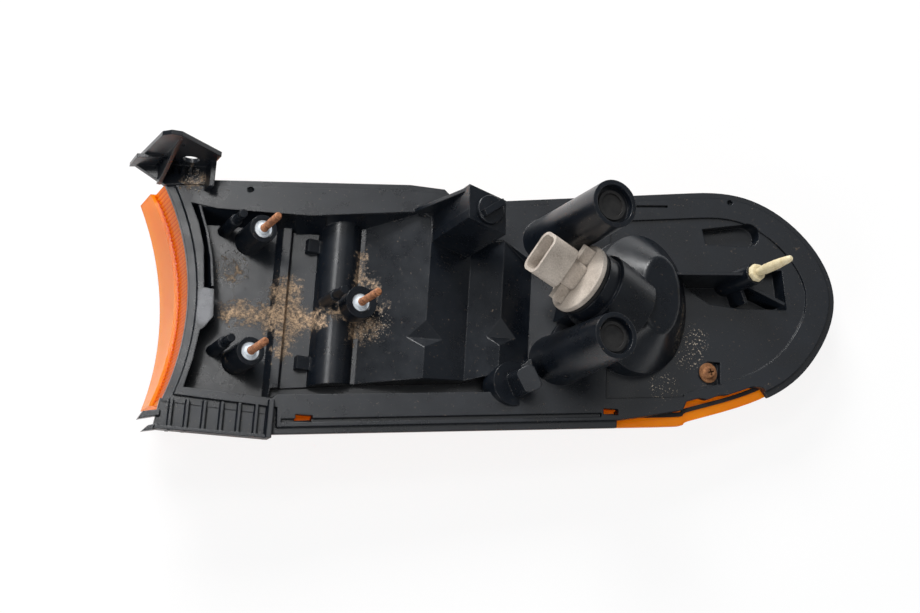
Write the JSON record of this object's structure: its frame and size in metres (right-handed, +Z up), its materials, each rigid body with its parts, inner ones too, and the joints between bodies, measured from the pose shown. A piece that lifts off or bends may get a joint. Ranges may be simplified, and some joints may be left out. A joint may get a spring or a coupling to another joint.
{
  "type": "front turn signal lamp",
  "caption": "Car front turn signal lamp with a black moulded housing, amber wrap-around lens, twist-lock bulb holder, mounting studs and a nylon locating peg.",
  "frame": {"origin": "middle of the bounding box in plan, at the lowest point of the lens", "axes": "+X along the lamp from the concave end to the round end, +Y across it, +Z up with the lamp lying on its lens"},
  "size_m": [0.3742, 0.1514, 0.1051],
  "materials": {
    "housing_plastic": "black moulded plastic, worn and dusty",
    "lens_amber": "clear amber plastic",
    "seal_rubber": "soft black seal",
    "socket_plastic": "warm grey plastic",
    "terminal_metal": "tinned blades gone brown",
    "bulb_glass": "clear bulb",
    "stud_steel": "steel with brown rust and a pale collar",
    "clip_nylon": "cream nylon",
    "screw_steel": "rusty steel",
    "core_rubber": "black rubber"
  },
  "bodies": {
    "lamp": {"housing": "housing_plastic", "lens": "lens_amber", "lens_seal": "seal_rubber", "stud_upper": "stud_steel", "stud_lower": "stud_steel", "stud_middle": "stud_steel", "locating_clip": "clip_nylon", "lens_screw": "screw_steel", "breather_upper": "core_rubber", "breather_lower": "core_rubber"},
    "holder": {"bulb_socket": "socket_plastic", "socket_gasket": "seal_rubber", "terminal_a": "terminal_metal", "terminal_b": "terminal_metal", "bulb": "bulb_glass"},
    "plug": {"blanking_plug": "housing_plastic"}
  },
  "joints": [
    {"name": "bulb_holder_twist", "type": "hinge", "parent": "lamp", "child": "holder", "pos_m": [0.04972, 0.0107, 0.07008], "axis": [-0.7647, 0.2852, 0.5778], "range_deg": [0, 40]},
    {"name": "blanking_plug_twist", "type": "hinge", "parent": "lamp", "child": "plug", "pos_m": [0.00312, 0.0413, 0.07901], "axis": [0.4384, 0, 0.8988], "range_deg": [0, 90]}
  ]
}
